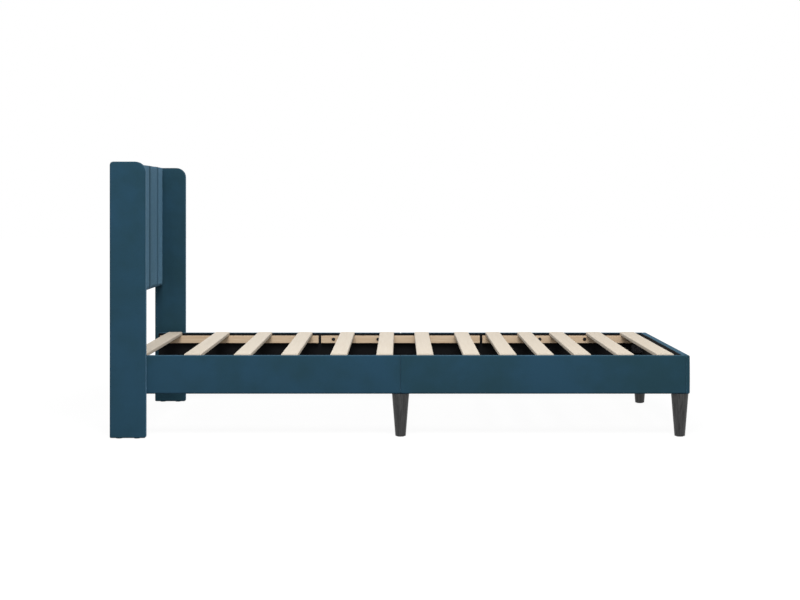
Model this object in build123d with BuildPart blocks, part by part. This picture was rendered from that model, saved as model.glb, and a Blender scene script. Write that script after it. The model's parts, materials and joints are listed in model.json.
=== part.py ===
from build123d import *
import os

# A single upholstered platform bed, seen from the side in the photograph. A channelled
# headboard panel hangs between two flat padded wings. Each side rail is bolted up from
# two halves, the slats lie on battens inside the rails, and turned legs stand under the
# middle of each side and under the foot corners.
# Millimetres. +X runs from the head to the foot and +Z is up. The origin is on the
# floor, under the middle of the bed. Left and right are the sleeper's, so left is +Y.

os.makedirs("parts", exist_ok=True)

sides = (("right", -1), ("left", 1))
ends = (("head", -1), ("foot", 1))

# Whole bed
bed_length = 2066
frame_width = 1000
wing_height = 984
rail_top = 292
leg_height = 155
glide_height = 2

half_length = bed_length / 2
half_width = frame_width / 2

# Rails: a velvet cover with thin foam over a timber core, and a lining on the inner face
rail_thickness = 24
rail_pad = 2.5
rail_wrap = 2
rail_edge_round = 3
lining_thickness = 1.5
lining_margin = 5.5
foot_lap = 13

rail_height = rail_top - leg_height
rail_length = half_length - foot_lap
lining_length = rail_length - lining_margin
rail_inner = half_width - rail_thickness
core_thickness = rail_thickness - rail_pad - lining_thickness
core_inner = rail_inner + lining_thickness
core_bottom = leg_height + rail_wrap
core_height = rail_height - 2 * rail_wrap
lining_bottom = leg_height + lining_margin
lining_height = rail_height - 2 * lining_margin

# Battens and slats
slat_width = 60
slat_thickness = 15
slat_proud = 4
slat_end_gap = 1
slat_edge_round = 4
slat_place_shares = (
    -0.915, -0.7225, -0.5497, -0.386, -0.215, -0.0552, 0.0855,
    0.2465, 0.374, 0.503, 0.632, 0.7815, 0.9198,
)
batten_thickness = 22
batten_height = 30
batten_gap = 11
batten_end_gap = 15
batten_edge_round = 1.5
centre_batten_length = 663

slat_top = rail_top + slat_proud
batten_top = slat_top - slat_thickness
batten_face = rail_inner - batten_thickness
outer_batten_start = centre_batten_length / 2 + batten_gap
outer_batten_length = rail_length - batten_end_gap - outer_batten_start

# Round-headed bolts, and the insert nuts that take them. Round forms that repeat have
# flats, fewer where timber hides them, to keep the model light
hidden_flat_count = 8
bolt_head_flat_count = 12
counterbore_flat_count = 20
glide_flat_count = 20
leg_flat_count = 48
bolt_radius = 4
bolt_head_radius = 6.5
bolt_head_height = 5
bolt_clearance = 0.5
thread_clearance = 0.1
counterbore_radius = 8.4
counterbore_depth = 9
nut_radius = 6
nut_length = 13
nut_spare_depth = 2
end_bolt_setback = 51
low_bolt_rise = 35
centre_bolt_shares = (0.2806, 0.845)
outer_bolt_shares = (0.3614, 0.6453)

bolt_level = batten_top - batten_height / 2
bolt_seat = batten_face + counterbore_depth
wing_bolt_place = -(rail_length - batten_end_gap - end_bolt_setback)
low_bolt_level = leg_height + low_bolt_rise

# Wings: padded boards that stand on the floor on either side of the panel and rails
wing_depth = 127
wing_thickness = 32
wing_face_pad = 6
wing_edge_pad = 5
wing_front_radius = 36
wing_back_radius = 12
wing_edge_round = 7

wing_core_thickness = wing_thickness - 2 * wing_face_pad
wing_core_inner = half_width + wing_face_pad
wing_middle = -half_length + wing_depth / 2

# Headboard panel: a timber frame and a thin board behind a pad sewn in upright channels
panel_height = 492
panel_recess = 2
back_cloth_thickness = 1
back_cloth_margin = 8
frame_thickness = 18
frame_member_width = 40
bottom_member_width = 60
board_thickness = 4
pad_wrap = 3
pad_side_thickness = 6.5
pad_seam_thickness = 13
pad_crown_thickness = 21
pad_top_round = 15
pad_bottom_round = 20
channel_count = 5
frame_bolt_radius = 3
frame_bolt_head_radius = 5
frame_bolt_head_height = 3.5
frame_bolt_inset = 9
frame_nut_radius = 5
frame_nut_length = 12
frame_bolt_shares = (0.2, 0.8)

panel_bottom = wing_height - panel_height
channel_pitch = frame_width / channel_count
cloth_back = -half_length + panel_recess
frame_back = cloth_back + back_cloth_thickness
board_back = frame_back + frame_thickness
board_front = board_back + board_thickness
inner_width = frame_width - 2 * pad_wrap
inner_height = panel_height - 2 * pad_wrap
inner_bottom = panel_bottom + pad_wrap
frame_bolt_place = frame_back + frame_bolt_inset

# Legs, the blocks that they screw into, and the brackets in the foot corners
leg_top_radius = 31
leg_foot_radius = 18.8
leg_edge_bevel = 1.5
hanger_radius = 4
hanger_in_leg = 35
hanger_in_block = 30
hanger_wall = 3
block_side = 60
block_height = 45
glide_radius = 14
wing_glide_radius = 12
wing_glide_shares = (0.25, 0.75)
bracket_leg = 40
bracket_height = 36
bracket_thickness = 2.5
bracket_bend_round = 3
bracket_screw_radius = 2.2
bracket_screw_length = 16
bracket_screw_hole_spare = 1
bracket_screw_head_radius = 4.5
bracket_screw_head_height = 2.5
bracket_screw_shares = (0.25, 0.75)
bracket_screw_reach_share = 0.6

leg_inset = rail_thickness + hanger_wall + hanger_radius
leg_line = half_width - leg_inset
foot_leg_place = half_length - leg_inset
foot_inner = half_length - rail_thickness
block_top = leg_height + block_height
batten_bottom = batten_top - batten_height
bracket_bottom = (block_top + batten_bottom - bracket_height) / 2


def looking_in(side, distance, spots):
    # Planes at a distance from the bed's middle line, facing it, at (x, z) spots
    return [
        Plane(origin=(x, side * distance, z), x_dir=(1, 0, 0), z_dir=(0, -side, 0))
        for x, z in spots
    ]


def add_rods(planes, radius, amount, flat_count=hidden_flat_count):
    # Shanks, sleeves and heads with flats, whose corners lie at this radius
    with BuildSketch(*planes) as outline:
        RegularPolygon(radius, flat_count)
    extrude(outline.sketch, amount=amount)


def cut_holes(planes, radius, depth, flat_count=hidden_flat_count):
    # Holes with flats, behind these planes, that clear a rod of this radius all round
    with BuildSketch(*planes) as outline:
        RegularPolygon(radius, flat_count, major_radius=False)
    extrude(outline.sketch, amount=-depth, mode=Mode.SUBTRACT)


def batten_bolt_spots(end):
    # Every bolt through the battens on one half of a side rail, the end one last
    spots = [end * share * centre_batten_length / 2 for share in centre_bolt_shares]
    spots += [
        end * (outer_batten_start + share * outer_batten_length)
        for share in outer_bolt_shares
    ]
    spots.append(-end * wing_bolt_place)
    return [(place, bolt_level) for place in spots]


def foot_screw_planes(side):
    # Planes on the bracket's foot leg, facing the head, where its screws go in
    return [
        Plane(
            origin=(foot_inner - bracket_thickness, side * (rail_inner - screw_reach), level),
            x_dir=(0, 1, 0),
            z_dir=(-1, 0, 0),
        )
        for level in screw_levels
    ]


wing_bolt_spots = [(wing_bolt_place, bolt_level), (wing_bolt_place, low_bolt_level)]
frame_bolt_spots = [
    (frame_bolt_place, panel_bottom + share * panel_height) for share in frame_bolt_shares
]
leg_places = {
    "mid": 0,
    "foot": foot_leg_place,
}
screw_reach = bracket_screw_reach_share * bracket_leg
screw_levels = [bracket_bottom + share * bracket_height for share in bracket_screw_shares]
side_screw_spots = [(foot_inner - screw_reach, level) for level in screw_levels]
screw_hole_depth = bracket_screw_length - bracket_thickness - lining_thickness
screw_hole_depth += bracket_screw_hole_spare

# Wing outline, upright, with a large round at the top of the front edge
with BuildSketch() as wing_outline:
    with Locations((wing_middle, (wing_height + glide_height) / 2)):
        Rectangle(wing_depth, wing_height - glide_height)
    top_corners = wing_outline.vertices().group_by(Axis.Y)[-1].sort_by(Axis.X)
    fillet(top_corners[-1], wing_front_radius)
    top_corners = wing_outline.vertices().group_by(Axis.Y)[-1].sort_by(Axis.X)
    fillet(top_corners[0], wing_back_radius)

with BuildSketch() as wing_core_outline:
    add(wing_outline.sketch_local)
    offset(amount=-wing_edge_pad, mode=Mode.REPLACE)

for side_name, side in sides:
    # Wing core: the board inside, with insert nuts for the rail and the panel
    with BuildPart() as wing_core:
        with BuildSketch(Plane.XZ.offset(-side * wing_core_inner)):
            add(wing_core_outline.sketch_local)
        extrude(amount=-side * wing_core_thickness)
        cut_holes(
            looking_in(side, wing_core_inner, wing_bolt_spots),
            nut_radius + thread_clearance,
            nut_length + nut_spare_depth,
        )
        cut_holes(
            looking_in(side, wing_core_inner, frame_bolt_spots),
            frame_nut_radius + thread_clearance,
            frame_nut_length + nut_spare_depth,
        )
    wing_core.part.label = f"{side_name}_wing_core"
    export_step(wing_core.part, f"parts/{wing_core.part.label}.step")

    # Wing cover: foam and velvet on both faces and round the edges
    with BuildPart() as wing_cover:
        with BuildSketch(Plane.XZ.offset(-side * half_width)):
            add(wing_outline.sketch_local)
        extrude(amount=-side * wing_thickness)
        faces_across = wing_cover.faces().sort_by(Axis.Y)
        fillet(faces_across[0].edges() + faces_across[-1].edges(), wing_edge_round)
        with BuildSketch(Plane.XZ.offset(-side * wing_core_inner)):
            add(wing_core_outline.sketch_local)
        extrude(amount=-side * wing_core_thickness, mode=Mode.SUBTRACT)
        cut_holes(
            looking_in(side, half_width, wing_bolt_spots),
            bolt_radius + bolt_clearance,
            wing_face_pad,
        )
        cut_holes(
            looking_in(side, half_width, frame_bolt_spots),
            frame_bolt_radius + bolt_clearance,
            wing_face_pad,
        )
    wing_cover.part.label = f"{side_name}_wing_cover"
    export_step(wing_cover.part, f"parts/{wing_cover.part.label}.step")

# Headboard stiles: the frame's upright ends, drilled for the bolts into the wings
stile_middle = inner_width / 2 - frame_member_width / 2
stile_inner = inner_width / 2 - frame_member_width
for side_name, side in sides:
    with BuildPart() as stile:
        with BuildSketch(Plane.XY.offset(inner_bottom)):
            with Locations((frame_back + frame_thickness / 2, side * stile_middle)):
                Rectangle(frame_thickness, frame_member_width)
        extrude(amount=inner_height)
        cut_holes(
            looking_in(side, stile_inner, frame_bolt_spots),
            frame_bolt_radius + bolt_clearance,
            frame_member_width,
        )
    stile.part.label = f"headboard_{side_name}_stile"
    export_step(stile.part, f"parts/{stile.part.label}.step")

# Headboard top and bottom members, between the stiles
member_length = inner_width - 2 * frame_member_width
members = (
    ("headboard_top_member", frame_member_width, inner_bottom + inner_height - frame_member_width),
    ("headboard_bottom_member", bottom_member_width, inner_bottom),
)
for member_name, member_width, member_bottom in members:
    with BuildPart() as member:
        with BuildSketch(Plane.XY.offset(member_bottom)):
            with Locations((frame_back + frame_thickness / 2, 0)):
                Rectangle(frame_thickness, member_length)
        extrude(amount=member_width)
    member.part.label = member_name
    export_step(member.part, f"parts/{member_name}.step")

# Headboard uprights: two studs behind the seams beside the middle channel
with BuildPart() as headboard_uprights:
    with BuildSketch(Plane.XY.offset(inner_bottom + bottom_member_width)):
        with Locations((frame_back + frame_thickness / 2, 0)):
            with GridLocations(0, channel_pitch, 1, 2):
                Rectangle(frame_thickness, frame_member_width)
    extrude(amount=inner_height - bottom_member_width - frame_member_width)
headboard_uprights.part.label = "headboard_uprights"
export_step(headboard_uprights.part, "parts/headboard_uprights.step")

# Headboard board: thin plywood that carries the pad
with BuildPart() as headboard_board:
    with BuildSketch(Plane.XY.offset(inner_bottom)):
        with Locations(((board_back + board_front) / 2, 0)):
            Rectangle(board_thickness, inner_width)
    extrude(amount=inner_height)
headboard_board.part.label = "headboard_board"
export_step(headboard_board.part, "parts/headboard_board.step")

# Headboard pad: each channel is crowned between its seams, the top and bottom are
# rounded over, and the pad wraps the frame's edges as far as its back
side_front = board_front + pad_side_thickness
seam_front = board_front + pad_seam_thickness
crown_front = board_front + pad_crown_thickness
with BuildPart() as headboard_channel_pad:
    with BuildSketch(Plane.XY.offset(panel_bottom)):
        with BuildLine():
            Polyline(
                (side_front, -half_width),
                (frame_back, -half_width),
                (frame_back, half_width),
                (side_front, half_width),
            )
            for channel in range(channel_count):
                channel_right = -half_width + channel * channel_pitch
                channel_left = channel_right + channel_pitch
                right_front = side_front if channel == 0 else seam_front
                left_front = side_front if channel == channel_count - 1 else seam_front
                ThreePointArc(
                    (right_front, channel_right),
                    (crown_front, channel_right + channel_pitch / 2),
                    (left_front, channel_left),
                )
        make_face()
    extrude(amount=panel_height)
    with BuildSketch(Plane.XZ) as pad_side_view:
        with Locations(((frame_back + crown_front) / 2, panel_bottom + panel_height / 2)):
            Rectangle(crown_front - frame_back, panel_height)
        front_corners = pad_side_view.vertices().group_by(Axis.X)[-1].sort_by(Axis.Y)
        fillet(front_corners[-1], pad_top_round)
        front_corners = pad_side_view.vertices().group_by(Axis.X)[-1].sort_by(Axis.Y)
        fillet(front_corners[0], pad_bottom_round)
    extrude(amount=half_width, both=True, mode=Mode.INTERSECT)
    with BuildSketch(Plane.XY.offset(inner_bottom)):
        with Locations(((frame_back + board_front) / 2, 0)):
            Rectangle(board_front - frame_back, inner_width)
    extrude(amount=inner_height, mode=Mode.SUBTRACT)
    for side_name, side in sides:
        cut_holes(
            looking_in(side, inner_width / 2, frame_bolt_spots),
            frame_bolt_radius + bolt_clearance,
            pad_wrap,
        )
headboard_channel_pad.part.label = "headboard_channel_pad"
export_step(headboard_channel_pad.part, "parts/headboard_channel_pad.step")

# Headboard back cloth: closes the open frame from behind
with BuildPart() as headboard_back_cloth:
    with BuildSketch(Plane.XY.offset(panel_bottom + back_cloth_margin)):
        with Locations(((cloth_back + frame_back) / 2, 0)):
            Rectangle(back_cloth_thickness, frame_width - 2 * back_cloth_margin)
    extrude(amount=panel_height - 2 * back_cloth_margin)
headboard_back_cloth.part.label = "headboard_back_cloth"
export_step(headboard_back_cloth.part, "parts/headboard_back_cloth.step")

# Side rails, two halves a side, which meet under the middle of the centre batten
for side_name, side in sides:
    for end_name, end in ends:
        rail_middle = end * rail_length / 2
        lining_middle = end * lining_length / 2
        bolt_spots = batten_bolt_spots(end)
        nut_spots = bolt_spots[:-1] if end_name == "head" else bolt_spots

        with BuildPart() as rail_core:
            with BuildSketch(Plane.XY.offset(core_bottom)):
                with Locations((rail_middle, side * (core_inner + core_thickness / 2))):
                    Rectangle(rail_length - 2 * rail_wrap, core_thickness)
            extrude(amount=core_height)
            cut_holes(
                looking_in(side, core_inner, nut_spots),
                nut_radius + thread_clearance,
                nut_length + nut_spare_depth,
            )
            if end_name == "head":
                cut_holes(
                    looking_in(side, core_inner, wing_bolt_spots),
                    bolt_radius + bolt_clearance,
                    core_thickness,
                )
            else:
                cut_holes(
                    looking_in(side, core_inner, side_screw_spots),
                    bracket_screw_radius + thread_clearance,
                    screw_hole_depth,
                )
        rail_core.part.label = f"{side_name}_{end_name}_rail_core"
        export_step(rail_core.part, f"parts/{rail_core.part.label}.step")

        # The cover goes over the outer face, edges and ends, and a little way back in
        with BuildPart() as rail_cover:
            with BuildSketch(Plane.XY.offset(leg_height)):
                with Locations((rail_middle, side * (half_width - rail_thickness / 2))):
                    Rectangle(rail_length, rail_thickness)
            extrude(amount=rail_height)
            outer_face = rail_cover.faces().sort_by(Axis.Y)[-1 if side > 0 else 0]
            fillet(outer_face.edges(), rail_edge_round)
            with BuildSketch(Plane.XY.offset(core_bottom)):
                with Locations((rail_middle, side * (core_inner + core_thickness / 2))):
                    Rectangle(rail_length - 2 * rail_wrap, core_thickness)
            extrude(amount=core_height, mode=Mode.SUBTRACT)
            with BuildSketch(Plane.XY.offset(lining_bottom)):
                with Locations((lining_middle, side * (rail_inner + lining_thickness / 2))):
                    Rectangle(lining_length, lining_thickness)
            extrude(amount=lining_height, mode=Mode.SUBTRACT)
            if end_name == "head":
                cut_holes(
                    looking_in(side, half_width - rail_pad, wing_bolt_spots),
                    bolt_radius + bolt_clearance,
                    rail_pad,
                )
        rail_cover.part.label = f"{side_name}_{end_name}_rail_cover"
        export_step(rail_cover.part, f"parts/{rail_cover.part.label}.step")

        # The lining fills the window that the cover leaves on the inner face, as far as
        # the seam between the halves
        with BuildPart() as rail_lining:
            with BuildSketch(Plane.XY.offset(lining_bottom)):
                with Locations((lining_middle, side * (rail_inner + lining_thickness / 2))):
                    Rectangle(lining_length, lining_thickness)
            extrude(amount=lining_height)
            cut_holes(
                looking_in(side, rail_inner, bolt_spots),
                bolt_radius + bolt_clearance,
                lining_thickness,
            )
            if end_name == "head":
                cut_holes(
                    looking_in(side, rail_inner, wing_bolt_spots[1:]),
                    bolt_radius + bolt_clearance,
                    lining_thickness,
                )
            else:
                cut_holes(
                    looking_in(side, rail_inner, side_screw_spots),
                    bracket_screw_radius + thread_clearance,
                    lining_thickness,
                )
        rail_lining.part.label = f"{side_name}_{end_name}_rail_lining"
        export_step(rail_lining.part, f"parts/{rail_lining.part.label}.step")

# Foot rail, seen from above: its outer layer laps the ends of the side rails
with BuildSketch() as foot_plan:
    with Locations((half_length - foot_lap / 2, 0)):
        Rectangle(foot_lap, frame_width)
    with Locations(((half_length - foot_lap + foot_inner) / 2, 0)):
        Rectangle(rail_thickness - foot_lap, 2 * rail_inner)

with BuildSketch() as foot_core_plan:
    with Locations((half_length - (rail_pad + foot_lap - rail_wrap) / 2, 0)):
        Rectangle(foot_lap - rail_pad - rail_wrap, frame_width - 2 * rail_wrap)
    with Locations((half_length - rail_pad - core_thickness / 2, 0)):
        Rectangle(core_thickness, 2 * (rail_inner - rail_wrap))

with BuildPart() as foot_rail_core:
    with BuildSketch(Plane.XY.offset(core_bottom)):
        add(foot_core_plan.sketch_local)
    extrude(amount=core_height)
    for side_name, side in sides:
        core_planes = [
            plane.offset(-bracket_thickness - lining_thickness)
            for plane in foot_screw_planes(side)
        ]
        cut_holes(core_planes, bracket_screw_radius + thread_clearance, screw_hole_depth)
foot_rail_core.part.label = "foot_rail_core"
export_step(foot_rail_core.part, "parts/foot_rail_core.step")

with BuildPart() as foot_rail_cover:
    with BuildSketch(Plane.XY.offset(leg_height)):
        add(foot_plan.sketch_local)
    extrude(amount=rail_height)
    fillet(foot_rail_cover.faces().sort_by(Axis.X)[-1].edges(), rail_edge_round)
    with BuildSketch(Plane.XY.offset(core_bottom)):
        add(foot_core_plan.sketch_local)
    extrude(amount=core_height, mode=Mode.SUBTRACT)
    with BuildSketch(Plane.XY.offset(lining_bottom)):
        with Locations((foot_inner + lining_thickness / 2, 0)):
            Rectangle(lining_thickness, 2 * (rail_inner - lining_margin))
    extrude(amount=lining_height, mode=Mode.SUBTRACT)
foot_rail_cover.part.label = "foot_rail_cover"
export_step(foot_rail_cover.part, "parts/foot_rail_cover.step")

with BuildPart() as foot_rail_lining:
    with BuildSketch(Plane.XY.offset(lining_bottom)):
        with Locations((foot_inner + lining_thickness / 2, 0)):
            Rectangle(lining_thickness, 2 * (rail_inner - lining_margin))
    extrude(amount=lining_height)
    for side_name, side in sides:
        lining_planes = [plane.offset(-bracket_thickness) for plane in foot_screw_planes(side)]
        cut_holes(lining_planes, bracket_screw_radius + thread_clearance, lining_thickness)
foot_rail_lining.part.label = "foot_rail_lining"
export_step(foot_rail_lining.part, "parts/foot_rail_lining.step")

# Battens: the centre one bridges the two rail halves, and its bolts hold them together
for side_name, side in sides:
    battens = (
        ("head", -(outer_batten_start + outer_batten_length / 2), outer_batten_length,
         batten_bolt_spots(-1)[len(centre_bolt_shares):]),
        ("centre", 0, centre_batten_length,
         batten_bolt_spots(-1)[:len(centre_bolt_shares)]
         + batten_bolt_spots(1)[:len(centre_bolt_shares)]),
        ("foot", outer_batten_start + outer_batten_length / 2, outer_batten_length,
         batten_bolt_spots(1)[len(centre_bolt_shares):]),
    )
    for batten_name, batten_middle, batten_length, bolt_spots in battens:
        with BuildPart() as batten:
            with BuildSketch(Plane.XY.offset(batten_top - batten_height)):
                with Locations((batten_middle, side * (rail_inner - batten_thickness / 2))):
                    Rectangle(batten_length, batten_thickness)
            extrude(amount=batten_height)
            front_face = batten.faces().sort_by(Axis.Y)[0 if side > 0 else -1]
            fillet(front_face.edges(), batten_edge_round)
            cut_holes(
                looking_in(side, batten_face, bolt_spots),
                counterbore_radius,
                counterbore_depth,
                counterbore_flat_count,
            )
            cut_holes(
                looking_in(side, bolt_seat, bolt_spots),
                bolt_radius + bolt_clearance,
                batten_thickness,
            )
        batten.part.label = f"{side_name}_{batten_name}_batten"
        export_step(batten.part, f"parts/{batten.part.label}.step")

# Slats: flat boards that lie across the battens, a little proud of the rails
slat_length = 2 * (rail_inner - slat_end_gap)
for slat_number, place_share in enumerate(slat_place_shares, start=1):
    with BuildPart() as slat:
        with BuildSketch(Plane.XY.offset(batten_top)):
            with Locations((place_share * half_length, 0)):
                Rectangle(slat_width, slat_length)
        extrude(amount=slat_thickness)
        fillet(slat.edges().filter_by(Axis.Y), slat_edge_round)
    slat.part.label = f"slat_{slat_number:02d}"
    export_step(slat.part, f"parts/{slat.part.label}.step")

# Leg form: turned and straight-tapered, standing on the origin. The side view is cut
# through at every turn from flat to flat, and what all the cuts share is the leg
with BuildPart() as leg_form:
    for turn in range(leg_flat_count // 2):
        with BuildSketch(Plane.XZ.rotated((0, 0, 360 * turn / leg_flat_count))):
            with BuildLine():
                Polyline(
                    (leg_foot_radius - leg_edge_bevel, glide_height),
                    (leg_foot_radius, glide_height + leg_edge_bevel),
                    (leg_top_radius, leg_height),
                    (-leg_top_radius, leg_height),
                    (-leg_foot_radius, glide_height + leg_edge_bevel),
                    (leg_edge_bevel - leg_foot_radius, glide_height),
                    close=True,
                )
            make_face()
        extrude(
            amount=2 * leg_top_radius,
            both=True,
            mode=Mode.INTERSECT if turn else Mode.ADD,
        )
    cut_holes([Plane.XY.offset(leg_height)], hanger_radius + thread_clearance, hanger_in_leg)

# Legs: one under the middle of each side and one under each foot corner
for side_name, side in sides:
    for place_name, leg_place in leg_places.items():
        with BuildPart() as leg:
            with Locations((leg_place, side * leg_line)):
                add(leg_form.part)
        leg.part.label = f"{side_name}_{place_name}_leg"
        export_step(leg.part, f"parts/{leg.part.label}.step")

# Leg blocks: glued into the rails beside each leg's line, drilled for the hanger bolts
with BuildPart() as leg_blocks:
    for side_name, side in sides:
        for block_place in (0, foot_inner - block_side / 2):
            with BuildSketch(Plane.XY.offset(leg_height)):
                with Locations((block_place, side * (rail_inner - block_side / 2))):
                    Rectangle(block_side, block_side)
            extrude(amount=block_height)
    for side_name, side in sides:
        for leg_place in leg_places.values():
            block_foot = Plane((leg_place, side * leg_line, leg_height))
            cut_holes([block_foot], hanger_radius + thread_clearance, -hanger_in_block)
leg_blocks.part.label = "leg_blocks"
export_step(leg_blocks.part, "parts/leg_blocks.step")

# Hanger bolts: a stud in the top of each leg, up into its block
with BuildPart() as leg_hanger_bolts:
    for side_name, side in sides:
        for leg_place in leg_places.values():
            stud_foot = Plane((leg_place, side * leg_line, leg_height - hanger_in_leg))
            add_rods([stud_foot], hanger_radius, hanger_in_leg + hanger_in_block)
leg_hanger_bolts.part.label = "leg_hanger_bolts"
export_step(leg_hanger_bolts.part, "parts/leg_hanger_bolts.step")

# Floor glides: one under each leg and two under each wing
with BuildPart() as floor_glides:
    with BuildSketch():
        for side_name, side in sides:
            for leg_place in leg_places.values():
                with Locations((leg_place, side * leg_line)):
                    RegularPolygon(glide_radius, glide_flat_count)
            for place_share in wing_glide_shares:
                wing_glide_place = -half_length + place_share * wing_depth
                with Locations((wing_glide_place, side * (half_width + wing_thickness / 2))):
                    RegularPolygon(wing_glide_radius, glide_flat_count)
    extrude(amount=glide_height)
floor_glides.part.label = "floor_glides"
export_step(floor_glides.part, "parts/floor_glides.step")

# Corner brackets: bent steel angles that join the side rails to the foot rail
with BuildPart() as corner_brackets:
    for side_name, side in sides:
        with BuildSketch(Plane.XY.offset(bracket_bottom)) as bracket_plan:
            with Locations((foot_inner - bracket_leg / 2, side * (rail_inner - bracket_leg / 2))):
                Rectangle(bracket_leg, bracket_leg)
            with Locations((
                foot_inner - (bracket_leg + bracket_thickness) / 2,
                side * (rail_inner - (bracket_leg + bracket_thickness) / 2),
            )):
                Rectangle(
                    bracket_leg - bracket_thickness,
                    bracket_leg - bracket_thickness,
                    mode=Mode.SUBTRACT,
                )
            outer_bend = (foot_inner, side * rail_inner, 0)
            inner_bend = (
                foot_inner - bracket_thickness, side * (rail_inner - bracket_thickness), 0
            )
            fillet(bracket_plan.vertices().sort_by_distance(inner_bend)[0], bracket_bend_round)
            fillet(
                bracket_plan.vertices().sort_by_distance(outer_bend)[0],
                bracket_bend_round + bracket_thickness,
            )
        extrude(amount=bracket_height)
        cut_holes(
            looking_in(side, rail_inner - bracket_thickness, side_screw_spots),
            bracket_screw_radius + thread_clearance,
            bracket_thickness,
        )
        cut_holes(
            foot_screw_planes(side),
            bracket_screw_radius + thread_clearance,
            bracket_thickness,
        )
corner_brackets.part.label = "corner_brackets"
export_step(corner_brackets.part, "parts/corner_brackets.step")

# Corner bracket screws: into the cores of the side rails and the foot rail
with BuildPart() as corner_bracket_screws:
    for side_name, side in sides:
        screw_planes = looking_in(side, rail_inner - bracket_thickness, side_screw_spots)
        screw_planes += foot_screw_planes(side)
        add_rods(screw_planes, bracket_screw_radius, -bracket_screw_length)
        add_rods(screw_planes, bracket_screw_head_radius, bracket_screw_head_height)
corner_bracket_screws.part.label = "corner_bracket_screws"
export_step(corner_bracket_screws.part, "parts/corner_bracket_screws.step")

# Batten bolts: from the counterbores into the insert nuts in the rail cores
with BuildPart() as batten_bolts:
    for side_name, side in sides:
        bolt_spots = batten_bolt_spots(-1)[:-1] + batten_bolt_spots(1)
        bolt_planes = looking_in(side, bolt_seat, bolt_spots)
        add_rods(bolt_planes, bolt_radius, bolt_seat - core_inner - nut_length)
        add_rods(bolt_planes, bolt_head_radius, bolt_head_height, bolt_head_flat_count)
batten_bolts.part.label = "batten_bolts"
export_step(batten_bolts.part, "parts/batten_bolts.step")

# Wing bolts: the upper one of each pair goes through the batten, the lower one through
# the rail alone, and both end in the wing's insert nuts
wing_bolt_seats = (bolt_seat, rail_inner)
with BuildPart() as wing_bolts:
    for side_name, side in sides:
        for seat, bolt_spot in zip(wing_bolt_seats, wing_bolt_spots):
            bolt_planes = looking_in(side, seat, [bolt_spot])
            add_rods(bolt_planes, bolt_radius, seat - wing_core_inner - nut_length)
            add_rods(bolt_planes, bolt_head_radius, bolt_head_height, bolt_head_flat_count)
wing_bolts.part.label = "wing_bolts"
export_step(wing_bolts.part, "parts/wing_bolts.step")

# Headboard bolts: from inside the frame, through the stiles, into the wings
with BuildPart() as headboard_bolts:
    for side_name, side in sides:
        bolt_planes = looking_in(side, stile_inner, frame_bolt_spots)
        add_rods(
            bolt_planes, frame_bolt_radius, stile_inner - wing_core_inner - frame_nut_length
        )
        add_rods(bolt_planes, frame_bolt_head_radius, frame_bolt_head_height)
headboard_bolts.part.label = "headboard_bolts"
export_step(headboard_bolts.part, "parts/headboard_bolts.step")

# Insert nuts: threaded sleeves, set flush with the timber that takes the bolts
with BuildPart() as insert_nuts:
    for side_name, side in sides:
        rail_nut_planes = looking_in(
            side, core_inner, batten_bolt_spots(-1)[:-1] + batten_bolt_spots(1)
        )
        wing_nut_planes = looking_in(side, wing_core_inner, wing_bolt_spots)
        nut_planes = rail_nut_planes + wing_nut_planes
        add_rods(nut_planes, nut_radius, -nut_length)
        cut_holes(nut_planes, bolt_radius + thread_clearance, nut_length)
        nut_planes = looking_in(side, wing_core_inner, frame_bolt_spots)
        add_rods(nut_planes, frame_nut_radius, -frame_nut_length)
        cut_holes(nut_planes, frame_bolt_radius + thread_clearance, frame_nut_length)
insert_nuts.part.label = "insert_nuts"
export_step(insert_nuts.part, "parts/insert_nuts.step")
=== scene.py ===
import json
import math

import bmesh
import bpy
import numpy as np
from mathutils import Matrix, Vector, noise


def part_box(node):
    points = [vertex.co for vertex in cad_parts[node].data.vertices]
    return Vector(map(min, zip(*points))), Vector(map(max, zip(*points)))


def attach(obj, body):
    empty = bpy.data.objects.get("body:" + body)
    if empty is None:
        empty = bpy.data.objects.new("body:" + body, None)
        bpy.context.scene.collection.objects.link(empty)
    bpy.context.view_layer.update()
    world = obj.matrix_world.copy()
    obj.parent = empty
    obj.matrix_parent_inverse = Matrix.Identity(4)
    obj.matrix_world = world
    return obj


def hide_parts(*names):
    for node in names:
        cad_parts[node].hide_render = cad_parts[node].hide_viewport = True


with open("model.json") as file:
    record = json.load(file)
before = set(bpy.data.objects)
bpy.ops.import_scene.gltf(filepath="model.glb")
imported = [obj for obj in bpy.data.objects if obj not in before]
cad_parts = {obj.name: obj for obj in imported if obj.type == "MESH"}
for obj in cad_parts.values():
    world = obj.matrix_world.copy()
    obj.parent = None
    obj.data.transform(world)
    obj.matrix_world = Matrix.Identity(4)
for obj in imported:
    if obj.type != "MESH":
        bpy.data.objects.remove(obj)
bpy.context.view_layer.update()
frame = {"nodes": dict(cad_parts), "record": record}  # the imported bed, in metres: +X to the foot, +Z up, the camera on the -Y side
scene = bpy.context.scene
mm = 0.001
hair = 0.01 * mm  # points closer than this lie in one plane
tiny = 1e-9
imageWidth, imageHeight = 800, 600
sides = {"right": -1, "left": 1}
ends = {"head": -1, "foot": 1}
print("frame loaded:", len(frame["nodes"]), "nodes")


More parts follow.
